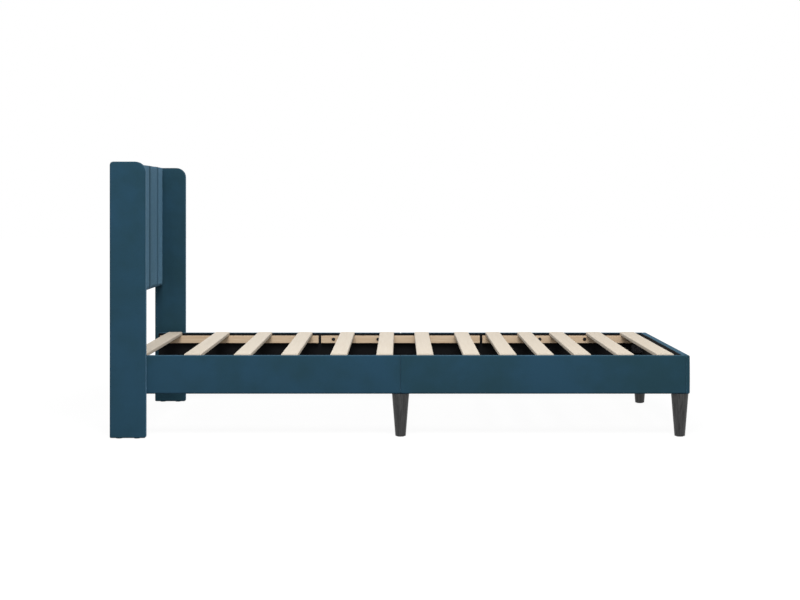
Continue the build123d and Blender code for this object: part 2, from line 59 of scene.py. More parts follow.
# Camera: level, square to the bed's side, and raised, so the frame is shifted down
camera = {
    "focalPixels": 1564.3,
    "horizonRow": 202.88,
    "vanishingColumn": 399.86,
    "place": (-0.0025, -6.0838, 0.8372),
    "sensorWidth": 36,
}
cameraData = bpy.data.cameras.new("camera")
cameraData.sensor_width = camera["sensorWidth"]
cameraData.lens = camera["focalPixels"] / imageWidth * camera["sensorWidth"]
cameraData.shift_x = (imageWidth / 2 - camera["vanishingColumn"]) / imageWidth
cameraData.shift_y = (camera["horizonRow"] - imageHeight / 2) / imageWidth
cameraObject = bpy.data.objects.new("camera", cameraData)
cameraObject.location = camera["place"]
cameraObject.rotation_euler = (math.pi / 2, 0, 0)
scene.collection.objects.link(cameraObject)
scene.camera = cameraObject
scene.view_settings.view_transform = "Standard"
print("camera set")


# Colours and nodes
def linear(hexCode):
    channels = [int(hexCode[i:i + 2], 16) / 255 for i in (1, 3, 5)]
    return [c / 12.92 if c <= 0.04045 else ((c + 0.055) / 1.055) ** 2.4 for c in channels] + [1]


def addNode(tree, kind, inputs=None, **settings):
    node = tree.nodes.new("ShaderNode" + kind)
    for name, value in settings.items():
        setattr(node, name, value)
    for key, value in (inputs or {}).items():
        if isinstance(value, bpy.types.NodeSocket):
            tree.links.new(value, node.inputs[key])
        else:
            node.inputs[key].default_value = value
    return node


def newMaterial(name):
    material = bpy.data.materials.new(name)
    material.use_nodes = True
    material.node_tree.nodes.clear()
    return material, material.node_tree


def perMm(size):  # texture scale, in coordinates in metres, for a feature of this many mm
    return 1 / (size * mm)


def mixColours(tree, factor, first, second, **settings):
    # A Mix node takes its two colours at sockets 6 and 7, and gives the result at 2
    mix = addNode(tree, "Mix", {0: factor, 6: first, 7: second}, data_type="RGBA", **settings)
    return mix.outputs[2]


def mixValues(tree, first, second, share):  # the second value's share of the sum
    part = addNode(tree, "Math", {0: second, 1: share}, operation="MULTIPLY")
    total = addNode(tree, "Math", {
        0: first, 1: 1 - share, 2: part.outputs[0]}, operation="MULTIPLY_ADD")
    return total.outputs[0]


def finishMaterial(tree, shader):
    addNode(tree, "OutputMaterial", {"Surface": shader.outputs[0]})


# Polyester velvet, woven and cut to a short pile: dark face on, paler at a grazing angle,
# with soft patches where the pile has been stroked one way or the other
velvet = {
    "deep": "#203F4B",
    "pale": "#24465A",
    "sheenTint": "#86B8DA",
    "sheen": 0.42,
    "sheenRoughness": 0.36,
    "patch": 330,  # mm across a stroked patch
    "patchTurn": (-1, 1, 1),  # the pattern of patches runs the other way along the bed
    "cloud": 75,
    "cloudShare": 0.3,  # of the clouds in the patches
    "leanSpread": 0.16,  # lower gives harder edges between deep and pale
    "pile": 3.0,  # real tufts are 0.5 mm, drawn coarse enough to show
    "pileSpread": 0.2,
    "pileContrast": 0.07,
    "pileHeight": 0.6,
    "weave": 1.1,
    "weaveHeight": 0.4,
}


def makeVelvet(name, look):
    material, tree = newMaterial(name)
    coords = addNode(tree, "TexCoord").outputs["Object"]
    turnedRound = addNode(
        tree, "VectorMath", {0: coords, 1: look["patchTurn"]}, operation="MULTIPLY")
    patches = addNode(tree, "TexNoise", {
        "Vector": turnedRound.outputs[0], "Scale": perMm(look["patch"]),
        "Detail": 2, "Roughness": 0.45, "Distortion": 0.6})
    clouds = addNode(tree, "TexNoise", {
        "Vector": coords, "Scale": perMm(look["cloud"]), "Detail": 3, "Roughness": 0.5})
    pile = addNode(tree, "TexNoise", {
        "Vector": coords, "Scale": perMm(look["pile"]), "Detail": 2, "Roughness": 0.7})
    stroked = mixValues(tree, patches.outputs["Fac"], clouds.outputs["Fac"], look["cloudShare"])
    spread = look["leanSpread"]
    lean = addNode(tree, "MapRange", {
        "Value": stroked, "From Min": 0.5 - spread, "From Max": 0.5 + spread,
    }, interpolation_type="SMOOTHSTEP")
    tone = mixColours(tree, lean.outputs[0], linear(look["deep"]), linear(look["pale"]))
    speckle = addNode(tree, "MapRange", {
        "Value": pile.outputs["Fac"], "From Min": 0.5 - look["pileSpread"],
        "From Max": 0.5 + look["pileSpread"], "To Min": 1 - look["pileContrast"],
        "To Max": 1 + look["pileContrast"]})
    colour = mixColours(tree, 1.0, tone, speckle.outputs[0], blend_type="MULTIPLY")
    tufts = addNode(tree, "TexNoise", {
        "Vector": coords, "Scale": perMm(look["weave"]), "Detail": 1})
    fuzz = addNode(tree, "Bump", {
        "Height": tufts.outputs["Fac"], "Strength": 0.35, "Distance": look["weaveHeight"] * mm})
    bump = addNode(tree, "Bump", {
        "Height": pile.outputs["Fac"], "Strength": 0.3, "Distance": look["pileHeight"] * mm,
        "Normal": fuzz.outputs[0]})
    shader = addNode(tree, "BsdfPrincipled", {
        "Base Color": colour, "Roughness": 0.9, "IOR": 1.5, "Specular IOR Level": 0.18,
        "Sheen Weight": look["sheen"], "Sheen Roughness": look["sheenRoughness"],
        "Sheen Tint": linear(look["sheenTint"]), "Normal": bump.outputs[0]})
    finishMaterial(tree, shader)
    return material


velvetMaterial = makeVelvet("polyesterVelvetCutPile", velvet)


# Polyester sewing thread, twisted: a shade deeper than the velvet, with slanting ply lines in
# relief, and painted shade darkening the grooves between the plies
thread = {"colour": "#1F3846", "dark": "#172B36", "twist": 1.4, "relief": 0.1}


def makeThread(name, look):
    material, tree = newMaterial(name)
    coords = addNode(tree, "TexCoord").outputs["Object"]
    twist = addNode(tree, "TexWave", {
        "Vector": coords, "Scale": perMm(look["twist"]) / 6, "Distortion": 1.5,
    }, bands_direction="DIAGONAL")  # a wave at scale 1 has about six bands in a metre
    # Painted shade: the dark colour follows the low parts of the twist, the grooves between the
    # plies
    colour = mixColours(tree, twist.outputs["Fac"], linear(look["dark"]), linear(look["colour"]))
    bump = addNode(tree, "Bump", {
        "Height": twist.outputs["Fac"], "Strength": 0.4, "Distance": look["relief"] * mm})
    shader = addNode(tree, "BsdfPrincipled", {
        "Base Color": colour, "Roughness": 0.6, "IOR": 1.5, "Sheen Weight": 0.2,
        "Normal": bump.outputs[0]})
    finishMaterial(tree, shader)
    return material


threadMaterial = makeThread("polyesterThreadTwisted", thread)


# Spunbond polypropylene, point-bonded: dull black cloth with rows of small pressed dimples
lining = {"colour": "#121213", "fibre": "#1C1C1E", "bond": 2.4, "fibreSize": 0.9, "relief": 0.2}


def makeLining(name, look):
    material, tree = newMaterial(name)
    coords = addNode(tree, "TexCoord").outputs["Object"]
    fibres = addNode(tree, "TexNoise", {
        "Vector": coords, "Scale": perMm(look["fibreSize"]), "Detail": 3, "Distortion": 1.5})
    dimples = addNode(tree, "TexVoronoi", {
        "Vector": coords, "Scale": perMm(look["bond"]), "Randomness": 0.15})
    pressed = addNode(tree, "MapRange", {
        "Value": dimples.outputs["Distance"], "From Min": 0.15, "From Max": 0.4})
    colour = mixColours(tree, fibres.outputs["Fac"], linear(look["colour"]), linear(look["fibre"]))
    rough = addNode(tree, "MapRange", {"Value": pressed.outputs[0], "To Min": 0.75, "To Max": 0.95})
    bump = addNode(tree, "Bump", {
        "Height": pressed.outputs[0], "Strength": 0.4, "Distance": look["relief"] * mm})
    shader = addNode(tree, "BsdfPrincipled", {
        "Base Color": colour, "Roughness": rough.outputs[0], "IOR": 1.49,
        "Specular IOR Level": 0.08, "Normal": bump.outputs[0]})
    finishMaterial(tree, shader)
    return material


liningMaterial = makeLining("polypropyleneSpunbond", lining)


# Sawn and planed timber: growth bands drawn out along the grain, fine pores between them
# and a slow drift of tone from board to board
slatWood = {  # plantation poplar, planed: nearly white, with faint straight grain
    "light": "#E4D9C8", "dark": "#D4C5B0", "drift": "#DBCEBB", "drifting": 0.5,
    "band": 7, "pore": 0.9, "stretch": 26, "along": "Y", "contrast": 0.7,
    "roughness": 0.62, "relief": 0.06,
}
battenWood = {  # planed softwood batten: warmer, with stronger bands
    "light": "#E0CBAF", "dark": "#C3A482", "drift": "#D8B99A", "drifting": 0.45,
    "band": 6, "pore": 0.8, "stretch": 30, "along": "X", "contrast": 0.8,
    "roughness": 0.6, "relief": 0.08,
}
legWood = {  # turned hardwood, stained black and lacquered satin: pale streaks along the grain
    "light": "#434343", "dark": "#08080A", "drift": "#1E1E1E", "drifting": 0.2,
    "band": 6, "pore": 1.6, "stretch": 24, "along": "Z", "contrast": 1.5,
    "roughness": 0.5, "relief": 0.1,
}
frameWood = {  # rough-sawn pine of the cores and the headboard's frame: dull, with wide bands
    "light": "#D8BE95", "dark": "#B4905F", "drift": "#C9A877", "drifting": 0.55,
    "band": 9, "pore": 1.0, "stretch": 24, "along": "X", "contrast": 0.8,
    "roughness": 0.75, "relief": 0.15,
}
# What all the woods have in common: the drift's size in mm, and shares
grainLook = {"drift": 85, "poreShare": 0.3, "spread": 0.22, "roughSpread": 0.08}


def makeWood(name, look, coat=0.0):
    material, tree = newMaterial(name)
    coords = addNode(tree, "TexCoord").outputs["Object"]
    shares = {axis: 1 / look["stretch"] if axis == look["along"] else 1 for axis in "XYZ"}
    drawn = addNode(tree, "Mapping", {
        "Vector": coords, "Scale": (shares["X"], shares["Y"], shares["Z"])})
    bands = addNode(tree, "TexNoise", {
        "Vector": drawn.outputs[0], "Scale": perMm(look["band"]), "Detail": 3, "Roughness": 0.55,
        "Distortion": 0.8})
    pores = addNode(tree, "TexNoise", {
        "Vector": drawn.outputs[0], "Scale": perMm(look["pore"]), "Detail": 2, "Roughness": 0.6})
    drift = addNode(tree, "TexNoise", {
        "Vector": drawn.outputs[0], "Scale": perMm(grainLook["drift"]), "Detail": 1})
    grain = mixValues(tree, bands.outputs["Fac"], pores.outputs["Fac"], grainLook["poreShare"])
    spread, roughSpread = grainLook["spread"] / look["contrast"], grainLook["roughSpread"]
    tone = addNode(tree, "MapRange", {
        "Value": grain, "From Min": 0.5 - spread, "From Max": 0.5 + spread})
    streaked = mixColours(tree, tone.outputs[0], linear(look["dark"]), linear(look["light"]))
    share = addNode(tree, "MapRange", {
        "Value": drift.outputs["Fac"], "From Min": 0.35, "From Max": 0.65,
        "To Max": look["drifting"]})
    colour = mixColours(tree, share.outputs[0], streaked, linear(look["drift"]))
    rough = addNode(tree, "MapRange", {
        "Value": grain, "To Min": look["roughness"] + roughSpread,
        "To Max": look["roughness"] - roughSpread})
    bump = addNode(tree, "Bump", {
        "Height": grain, "Strength": 0.5, "Distance": look["relief"] * mm})
    shader = addNode(tree, "BsdfPrincipled", {
        "Base Color": colour, "Roughness": rough.outputs[0], "IOR": 1.5,
        "Specular IOR Level": 0.35, "Coat Weight": coat, "Coat Roughness": 0.3, "Coat IOR": 1.5,
        "Normal": bump.outputs[0]})
    finishMaterial(tree, shader)
    return material


woods = {
    "slat_timber": makeWood("poplarPlaned", slatWood),
    "batten_timber": makeWood("pinePlaned", battenWood),
    "stained_leg_wood": makeWood("rubberwoodStainedBlack", legWood, coat=0.15),
    "frame_timber": makeWood("pineRoughSawn", frameWood),
}


# Bolts, screws, brackets and staples are blackened in hot oxide: dull near-black with faint
# mottling. Nuts and hanger bolts are zinc plated, so bright and a little cloudy. The glides are
# moulded polyethylene, black with an even satin face
hardwareLooks = {
    "black_steel": {
        "name": "steelBlackOxide", "colour": "#2A2A2C", "worn": "#3B3B3E", "metallic": 0.85,
        "roughness": 0.45, "mottle": 6, "relief": 0.05,
    },
    "zinc_steel": {
        "name": "steelZincPlated", "colour": "#B9BCC0", "worn": "#9FA2A4", "metallic": 1.0,
        "roughness": 0.35, "mottle": 4, "relief": 0.03,
    },
    "glide_plastic": {
        "name": "polyethyleneMoulded", "colour": "#1D1D1E", "worn": "#2B2B2C", "metallic": 0.0,
        "roughness": 0.5, "mottle": 3, "relief": 0.08,
    },
}
mottleRough = 0.1


def makeHardware(look):
    material, tree = newMaterial(look["name"])
    coords = addNode(tree, "TexCoord").outputs["Object"]
    mottle = addNode(tree, "TexNoise", {
        "Vector": coords, "Scale": perMm(look["mottle"]), "Detail": 4})
    colour = mixColours(tree, mottle.outputs["Fac"], linear(look["colour"]), linear(look["worn"]))
    rough = addNode(tree, "MapRange", {
        "Value": mottle.outputs["Fac"], "To Min": look["roughness"] - mottleRough,
        "To Max": look["roughness"] + mottleRough})
    bump = addNode(tree, "Bump", {
        "Height": mottle.outputs["Fac"], "Strength": 0.3, "Distance": look["relief"] * mm})
    shader = addNode(tree, "BsdfPrincipled", {
        "Base Color": colour, "Metallic": look["metallic"], "Roughness": rough.outputs[0],
        "Normal": bump.outputs[0]})
    finishMaterial(tree, shader)
    return material


hardware = {slot: makeHardware(look) for slot, look in hardwareLooks.items()}
slotMaterials = {"velvet": velvetMaterial, "lining_cloth": liningMaterial, **woods, **hardware}
print("materials made:", len(bpy.data.materials))

for part in frame["record"]["subparts"]:
    node = frame["nodes"][part["node"]]
    node.data.materials.clear()
    node.data.materials.append(slotMaterials[part["material_slot"]])
# The blocks above the legs get the legs' black-stained wood, so they don't show against the dark
# inside of the bed
legBlocks = frame["nodes"]["leg_blocks"].data.materials
legBlocks.clear()
legBlocks.append(slotMaterials["stained_leg_wood"])


# Meshes
def addPiece(name, mesh, slotName, replaced=(), material=None, sharpAbove=38):
    mesh.materials.append(material or slotMaterials[slotName])
    mesh.shade_smooth()
    mesh.set_sharp_from_angle(angle=math.radians(sharpAbove))
    piece = bpy.data.objects.new(name, mesh)
    scene.collection.objects.link(piece)
    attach(piece, "root")
    if replaced:
        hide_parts(*replaced)
    return piece


def meshFrom(name, points, faces):
    mesh = bpy.data.meshes.new(name)
    mesh.from_pydata([tuple(p) for p in points], [], faces)
    mesh.update()
    return mesh


def skin(xLines, yLines, zLines, place):
    # The closed surface of a block ruled along these lines, each crossing moved by place
    counts = (len(xLines), len(yLines), len(zLines))
    lines = (xLines, yLines, zLines)
    index, points, faces = {}, [], []

    def corner(key):
        if key not in index:
            index[key] = len(points)
            points.append(place(*(lines[a][key[a]] for a in range(3))))
        return index[key]

    for across, (a, b) in ((0, (1, 2)), (1, (2, 0)), (2, (0, 1))):
        for level, flip in ((0, True), (counts[across] - 1, False)):
            for i in range(counts[a] - 1):
                for j in range(counts[b] - 1):
                    ring = []
                    for di, dj in ((0, 0), (1, 0), (1, 1), (0, 1)):
                        key = [0, 0, 0]
                        key[across], key[a], key[b] = level, i + di, j + dj
                        ring.append(corner(tuple(key)))
                    faces.append(ring[::-1] if flip else ring)
    return points, faces


def ruled(low, high, step, edgeRound=0.0, turns=4):
    # Lines from low to high, about a step apart, and closer through the rounds at both ends
    angles = [math.radians(45 - 45 * k / turns) for k in range(turns)] if edgeRound else []
    edge = [edgeRound * (1 - math.tan(angle)) for angle in angles]
    first, last = low + edgeRound, high - edgeRound
    inner = np.linspace(first, last, max(2, round((last - first) / step) + 1))
    return [low + e for e in edge] + list(inner) + [high - e for e in reversed(edge)]


def roundOver(point, low, high, radii):
    # Rounds the edges of a box: radii may differ at the low and high end of each axis
    kept = [min(max(p, lo + r[0]), hi - r[1]) for p, lo, hi, r in zip(point, low, high, radii)]
    out = Vector(point) - Vector(kept)
    if out.length < tiny:
        return Vector(point)
    # Each axis has its own radius, so the direction is taken in units of that radius
    scaled = Vector([
        o / (r[0] if o < 0 else r[1]) if abs(o) > tiny else 0 for o, r in zip(out, radii)])
    scaled.normalize()
    return Vector([k + s * (r[0] if s < 0 else r[1]) for k, s, r in zip(kept, scaled, radii)])


def cutBox(mesh, low, high):
    # Takes a plain box out of a closed mesh
    blocks = bmesh.new()
    bmesh.ops.create_cube(blocks, size=1)
    for vert in blocks.verts:
        vert.co = Vector([lo if c < 0 else hi for c, lo, hi in zip(vert.co, low, high)])
    cutterMesh = bpy.data.meshes.new("cutter")
    blocks.to_mesh(cutterMesh)
    blocks.free()
    cutter = bpy.data.objects.new("cutter", cutterMesh)
    target = bpy.data.objects.new("target", mesh)
    for thing in (cutter, target):
        scene.collection.objects.link(thing)
    cut = target.modifiers.new("cut", "BOOLEAN")
    cut.operation, cut.solver, cut.object = "DIFFERENCE", "EXACT", cutter
    evaluated = target.evaluated_get(bpy.context.evaluated_depsgraph_get())
    made = bpy.data.meshes.new_from_object(evaluated)
    made.name = mesh.name
    for thing in (cutter, target):
        bpy.data.objects.remove(thing)
    bpy.data.meshes.remove(cutterMesh)
    return made


def swell(mesh, pinned, look):
    # Blows the closed cover up against its pinned points, as foam does, and caps how far it goes
    start = np.array([v.co for v in mesh.vertices])
    puffed = bpy.data.objects.new("puffed", mesh)
    scene.collection.objects.link(puffed)
    puffed.vertex_groups.new(name="pinned").add(pinned, 1.0, "REPLACE")
    cloth = puffed.modifiers.new("swell", "CLOTH")
    cloth.settings.quality = 6
    cloth.settings.mass = 0.3
    cloth.settings.tension_stiffness = cloth.settings.compression_stiffness = look["stiffness"]
    cloth.settings.bending_stiffness = look["bending"]
    cloth.settings.use_pressure = True
    cloth.settings.uniform_pressure_force = look["pressure"]
    cloth.settings.vertex_group_mass = "pinned"
    cloth.settings.effector_weights.gravity = 0
    cloth.point_cache.frame_start, cloth.point_cache.frame_end = 1, look["frames"]
    for step in range(1, look["frames"] + 1):
        scene.frame_set(step)
    puffedMesh = puffed.evaluated_get(bpy.context.evaluated_depsgraph_get()).data
    moved = np.array([v.co for v in puffedMesh.vertices]) - start
    length = np.linalg.norm(moved, axis=1, keepdims=True)
    cap = look["cap"] * mm
    eased = cap * np.tanh(length / cap) / np.maximum(length, tiny)
    mesh.vertices.foreach_set("co", (start + moved * eased).ravel())
    bpy.data.objects.remove(puffed)
    scene.frame_set(1)
    print("  swelled", mesh.name, "by up to", round(float((length * eased).max() / mm), 1), "mm")
    return mesh


# Wings: a foam-padded board in a boxed velvet cover, flat where the rails and the panel meet it
wing = {
    "edgeRound": 4,
    "frontRound": 39,
    "backRound": 12,
    "footRound": 5,
    "step": 8,
    "acrossStep": 6,
    "heldFoot": 20,  # the cover is stapled under the foot, and stays flat this far up
    "swell": {"stiffness": 12, "bending": 0.6, "pressure": 4.0, "cap": 2.5, "frames": 20},
}


def wingShape(low, high, look):
    # Returns place(x, y, z), in metres, for a board whose upright outline has rounded corners
    edge = look["edgeRound"] * mm
    rounds = {
        (1, 1): look["frontRound"] * mm, (-1, 1): look["backRound"] * mm,
        (1, -1): look["footRound"] * mm, (-1, -1): look["footRound"] * mm,
    }
    middle = (low + high) / 2

    def place(x, y, z):
        toSide = min(x - low.x, high.x - x)
        toEnd = min(z - low.z, high.z - z)
        inset = min(toSide, toEnd)
        toFace = min(y - low.y, high.y - y)
        if inset < edge and toFace < edge:
            across, deep = edge - inset, edge - toFace
            length = math.hypot(across, deep)
            shift = (edge - edge * across / length) - inset
            lift = (edge - edge * deep / length) - toFace
            if toSide <= toEnd + tiny:
                x += shift if x < middle.x else -shift
            if toEnd <= toSide + tiny:
                z += shift if z < middle.z else -shift
            y += lift if y < middle.y else -lift
        side, end = (1 if x > middle.x else -1), (1 if z > middle.z else -1)
        radius = rounds[side, end]
        centreX = (high.x if side > 0 else low.x) - side * radius
        centreZ = (high.z if end > 0 else low.z) - end * radius
        outX, outZ = (x - centreX) * side, (z - centreZ) * end
        if outX > 0 and outZ > 0:
            reach = max(outX, outZ)
            length = math.hypot(outX, outZ)
            x = centreX + side * outX / length * reach
            z = centreZ + end * outZ / length * reach
        return Vector((x, y, z))

    return place


def makeWing(sideName, side):
    name = sideName + "_wing_cover"
    low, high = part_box(name)
    edge = wing["edgeRound"] * mm
    step = wing["step"] * mm
    xLines = ruled(low.x, high.x, step, edge)
    zLines = ruled(low.z, high.z, step, edge)
    yLines = ruled(low.y, high.y, wing["acrossStep"] * mm, edge)
    mesh = meshFrom(name, *skin(xLines, yLines, zLines, wingShape(low, high, wing)))
    inner = low.y if side > 0 else high.y
    outer = high.y if side > 0 else low.y
    railLow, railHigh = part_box(sideName + "_head_rail_cover")
    padLow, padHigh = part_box("headboard_channel_pad")
    pinned = []
    for vert in mesh.vertices:
        x, y, z = vert.co
        onInner, onOuter = abs(y - inner) < hair, abs(y - outer) < hair
        held = not (onInner or onOuter) or z < low.z + wing["heldFoot"] * mm
        if onInner:
            held = held or railLow.z - step < z < railHigh.z + step
            held = held or (z > padLow.z - step and x < padHigh.x + step)
        if held:
            pinned.append(vert.index)
    swell(mesh, pinned, wing["swell"])
    addPiece(name, mesh, "velvet", [name])


for sideName, side in sides.items():
    makeWing(sideName, side)
print("wings made")


# Headboard pad: five upright channels, each crowned between seams sewn down to the board,
# rounded over at the top and bottom and turned a little way onto the back of the frame
pad = {
    "channels": 5,
    "sunk": 3.8,  # how far the crowns lie inside the CAD solid's, whose foam is drawn full
    "seamDepth": 4.5,  # how far the seams lie behind the crowns
    "sideDepth": 16,  # how far the pad is drawn back at the wings
    "topRound": 4,
    "bottomRound": 18,
    "roundLines": 6,
    "fullness": 14,  # how flat a channel is before it turns down into its seams
    "crown": 0.15,  # share of the depth that is an even crown across the channel
    "start": 0.8,  # share of the crown that is cut into the cover; the foam gives the rest
    "turn": 0.7,  # velvet on the back of the frame
    "turnWidth": 18,
    "hollow": 18,  # the frame's members stand this deep behind the board
    "heldDepth": 4,  # up to this far behind the board's face, the cover is glued to the frame
    "rows": 60,
    "columns": 28,
    "evenShare": 0.55,  # of even spacing in the columns, which else crowd towards the seams
    "swell": {"stiffness": 9, "bending": 0.3, "pressure": 4.5, "cap": 0.9, "frames": 20},
}
padLow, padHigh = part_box("headboard_channel_pad")
boardLow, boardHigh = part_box("headboard_board")
channelPitch = (padHigh.y - padLow.y) / pad["channels"]
seamPlaces = [padLow.y + k * channelPitch for k in range(1, pad["channels"])]


def makePad():
    name = "headboard_channel_pad"
    crown = padHigh.x - pad["sunk"] * mm
    seamX = crown - pad["seamDepth"] * mm
    sideX = padHigh.x - pad["sideDepth"] * mm
    topRound, bottomRound = pad["topRound"] * mm, pad["bottomRound"] * mm
    lines = pad["roundLines"]
    rounded = [1 - math.cos(math.pi / 2 * k / lines) for k in range(lines)]
    zLines = [padLow.z + bottomRound * r for r in rounded]
    zLines += list(np.linspace(padLow.z + bottomRound, padHigh.z - topRound, pad["rows"]))
    zLines += [padHigh.z - topRound * r for r in reversed(rounded)]
    yLines = []
    for channel in range(pad["channels"]):
        for k in range(pad["columns"]):
            even = k / pad["columns"]
            crowded = 0.5 - 0.5 * math.cos(math.pi * even)
            share = (1 - pad["evenShare"]) * crowded + pad["evenShare"] * even
            yLines.append(padLow.y + (channel + share) * channelPitch)
    yLines.append(padHigh.y)
    backX = padLow.x - pad["turn"] * mm
    depthShares = [0, 0.35, 0.7, 1]

    def place(share, y, z):
        channel = min(int((y - padLow.y + hair) / channelPitch), pad["channels"] - 1)
        u = (y - padLow.y) / channelPitch - channel
        right = sideX if channel == 0 else seamX
        left = sideX if channel == pad["channels"] - 1 else seamX
        base = right + (left - right) * u
        fromCrown = abs(2 * u - 1)
        flat, arched = 1 - fromCrown ** pad["fullness"], 1 - fromCrown ** 2
        bulge = flat * (1 - pad["crown"]) + arched * pad["crown"]
        front = base + (crown - seamX) * bulge * pad["start"]
        for fromEnd, radius in ((padHigh.z - z, topRound), (z - padLow.z, bottomRound)):
            if fromEnd < radius:  # the round cuts the crown, and stays in front of the board
                cut = radius - math.sqrt(max(0, radius ** 2 - (radius - fromEnd) ** 2))
                front = min(front, crown - cut)
        return Vector((backX + share * (front - backX), y, z))

    mesh = meshFrom(name, *skin(depthShares, yLines, zLines, place))
    pinned = []
    for vert in mesh.vertices:
        x, y, z = vert.co
        onSeam = min(abs(y - s) for s in seamPlaces) < hair
        onRim = abs(y - padLow.y) < hair or abs(y - padHigh.y) < hair
        if onSeam or onRim or x < boardHigh.x - pad["heldDepth"] * mm:
            pinned.append(vert.index)
    swell(mesh, pinned, pad["swell"])
    innerLow = Vector((boardLow.x - pad["hollow"] * mm, boardLow.y, boardLow.z))
    mesh = cutBox(mesh, innerLow, boardHigh)
    turn = pad["turnWidth"] * mm
    mesh = cutBox(
        mesh,
        (backX - mm, boardLow.y + turn, boardLow.z + turn),
        (innerLow.x + mm, boardHigh.y - turn, boardHigh.z - turn),
    )
    addPiece(name, mesh, "velvet", [name])


makePad()
print("headboard pad made")


# Lockstitches along the channel seams, sunk between the crowns
stitch = {
    "pitch": 4.2, "length": 3.2, "thickness": 0.9, "sides": 6, "proud": 0.1, "endGap": 12,
    # Along the stitch in half lengths, then its width and depth in radii
    "rows": (
        (-1, 0.25, -1), (-0.8, 0.8, -0.35), (-0.3, 1, 0),
        (0.3, 1, 0), (0.8, 0.8, -0.35), (1, 0.25, -1),
    ),
}


def threadLoop(middle, halfLength, radius, count):
    # One stitch: a short thread along Z whose ends dive into the cloth at the -X side
    rows = stitch["rows"]
    points, faces = [], []
    for along, width, sink in rows:
        for k in range(count):
            turn = 2 * math.pi * k / count
            outward, sideways = sink + width * math.cos(turn), width * math.sin(turn)
            offset = Vector((radius * outward, radius * sideways, halfLength * along))
            points.append(middle + offset)
    for row in range(len(rows) - 1):
        for k in range(count):
            a, b = row * count + k, row * count + (k + 1) % count
            faces.append((a, b, b + count, a + count))
    faces.append(tuple(reversed(range(count))))
    faces.append(tuple(range(len(points) - count, len(points))))
    return points, faces


def joined(pieces):
    # One list of points and faces from several
    points, faces = [], []
    for piecePoints, pieceFaces in pieces:
        base = len(points)
        points += piecePoints
        faces += [tuple(base + index for index in face) for face in pieceFaces]
    return points, faces


seamFront = padHigh.x - (pad["sunk"] + pad["seamDepth"]) * mm
seamLow, seamHigh = padLow.z + stitch["endGap"] * mm, padHigh.z - stitch["endGap"] * mm
stitchHeights = np.arange(seamLow, seamHigh, stitch["pitch"] * mm)
seamStitches = joined(
    threadLoop(
        Vector((seamFront + stitch["proud"] * mm, place, height)), stitch["length"] / 2 * mm,
        stitch["thickness"] / 2 * mm, stitch["sides"],
    )
    for place in seamPlaces for height in stitchHeights
)
stitchMesh = meshFrom("seamStitches", *seamStitches)
addPiece("headboard_seam_stitches", stitchMesh, "velvet", material=threadMaterial)
print("seam stitches made")


# Rails: velvet over thin foam, turned over all the edges and stapled inside, where the
# lining covers the rest
rail = {
    "topRound": 3.5,
    "bottomRound": 5.5,
    "bottomDepth": 7.5,  # the foam thins towards the bottom edge, so that round is deeper than high
    "bottomReach": 8,  # from here up, over the next height, the round turns into the top one
    "bottomFade": 20,
    "endRound": 4,
    "innerRound": 4.5,
    "crown": 1.4,
    "crownFrom": 0.2,  # share of the thickness behind which the cover stays flat
    "crownRun": 40,  # from the ends, over which the crown rises
    "ripple": 0.35,
    "rippleSize": 240,
    "wrap": 2,
    "liningRise": 4,  # the lining is turned in this close under the top edge
    "overrun": 5,  # how far cuts run on past an end
    "step": 12,
    "thinLines": {"step": 2, "edgeRound": 3.5},
    "highLines": {"step": 8, "edgeRound": 7},
}
seedStep = Vector((7.3, 3.1, 1))  # moves each rail to its own place in the noise
sideRailSeed, footRailSeed = 5, 11


def softRipple(x, y, z, seed, look):
    point = Vector((x, y, z)) / (look["rippleSize"] * mm) + seedStep * seed
    return noise.noise(point) * look["ripple"] * mm


def puffShare(p, low, high, along, look):
    # 1 at the middle of the rail's face, 0 at its edges and ends
    up = (p.z - low.z) / (high.z - low.z)
    fromEnd = min(p[along] - low[along], high[along] - p[along]) / (look["crownRun"] * mm)
    return math.sin(math.pi * min(max(up, 0), 1)) * min(1, max(fromEnd, 0)) ** 0.5


def railLines(low, high, lines):
    return ruled(low, high, lines["step"] * mm, lines["edgeRound"] * mm)


def railRadius(z, low, look):
    # The round of the outer face: deep along the bottom edge, tight along the top one
    share = min(1, max(0, (z - low.z - look["bottomReach"] * mm) / (look["bottomFade"] * mm)))
    return (look["bottomDepth"] * (1 - share) + look["topRound"] * share) * mm


def makeSideRail(sideName, side, endName, end):
    stem = f"{sideName}_{endName}_rail"
    low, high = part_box(stem + "_cover")
    coreLow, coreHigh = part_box(stem + "_core")
    liningLow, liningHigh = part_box(stem + "_lining")
    inner, endRound = rail["innerRound"] * mm, rail["endRound"] * mm
    zRounds = (rail["bottomRound"] * mm, rail["topRound"] * mm)
    seed = side + 2 * end + sideRailSeed
    xLines = ruled(low.x, high.x, rail["step"] * mm, endRound)
    yLines = railLines(low.y, high.y, rail["thinLines"])
    zLines = railLines(low.z, high.z, rail["highLines"])

    def place(x, y, z):
        outer = railRadius(z, low, rail)
        yRounds = (outer, inner) if side < 0 else (inner, outer)
        p = roundOver((x, y, z), low, high, ((endRound, endRound), yRounds, zRounds))
        outward = (p.y - (low.y + high.y) / 2) * side / ((high.y - low.y) / 2)
        if outward > rail["crownFrom"]:
            puff = puffShare(p, low, high, 0, rail)
            p.y += side * outward * (rail["crown"] * mm * puff + softRipple(*p, seed, rail) * puff)
        return p

    mesh = meshFrom(stem + "_cover", *skin(xLines, yLines, zLines, place))
    mesh = cutBox(mesh, coreLow, coreHigh)
    windowLow, windowHigh = liningLow.copy(), liningHigh.copy()
    windowLow.y -= rail["wrap"] * mm
    windowHigh.y += rail["wrap"] * mm
    windowHigh.z += rail["liningRise"] * mm
    if end > 0:  # the window runs on through the end that meets the other half
        windowLow.x -= rail["overrun"] * mm
    else:
        windowHigh.x += rail["overrun"] * mm
    mesh = cutBox(mesh, windowLow, windowHigh)
    addPiece(stem + "_cover", mesh, "velvet", [stem + "_cover"])


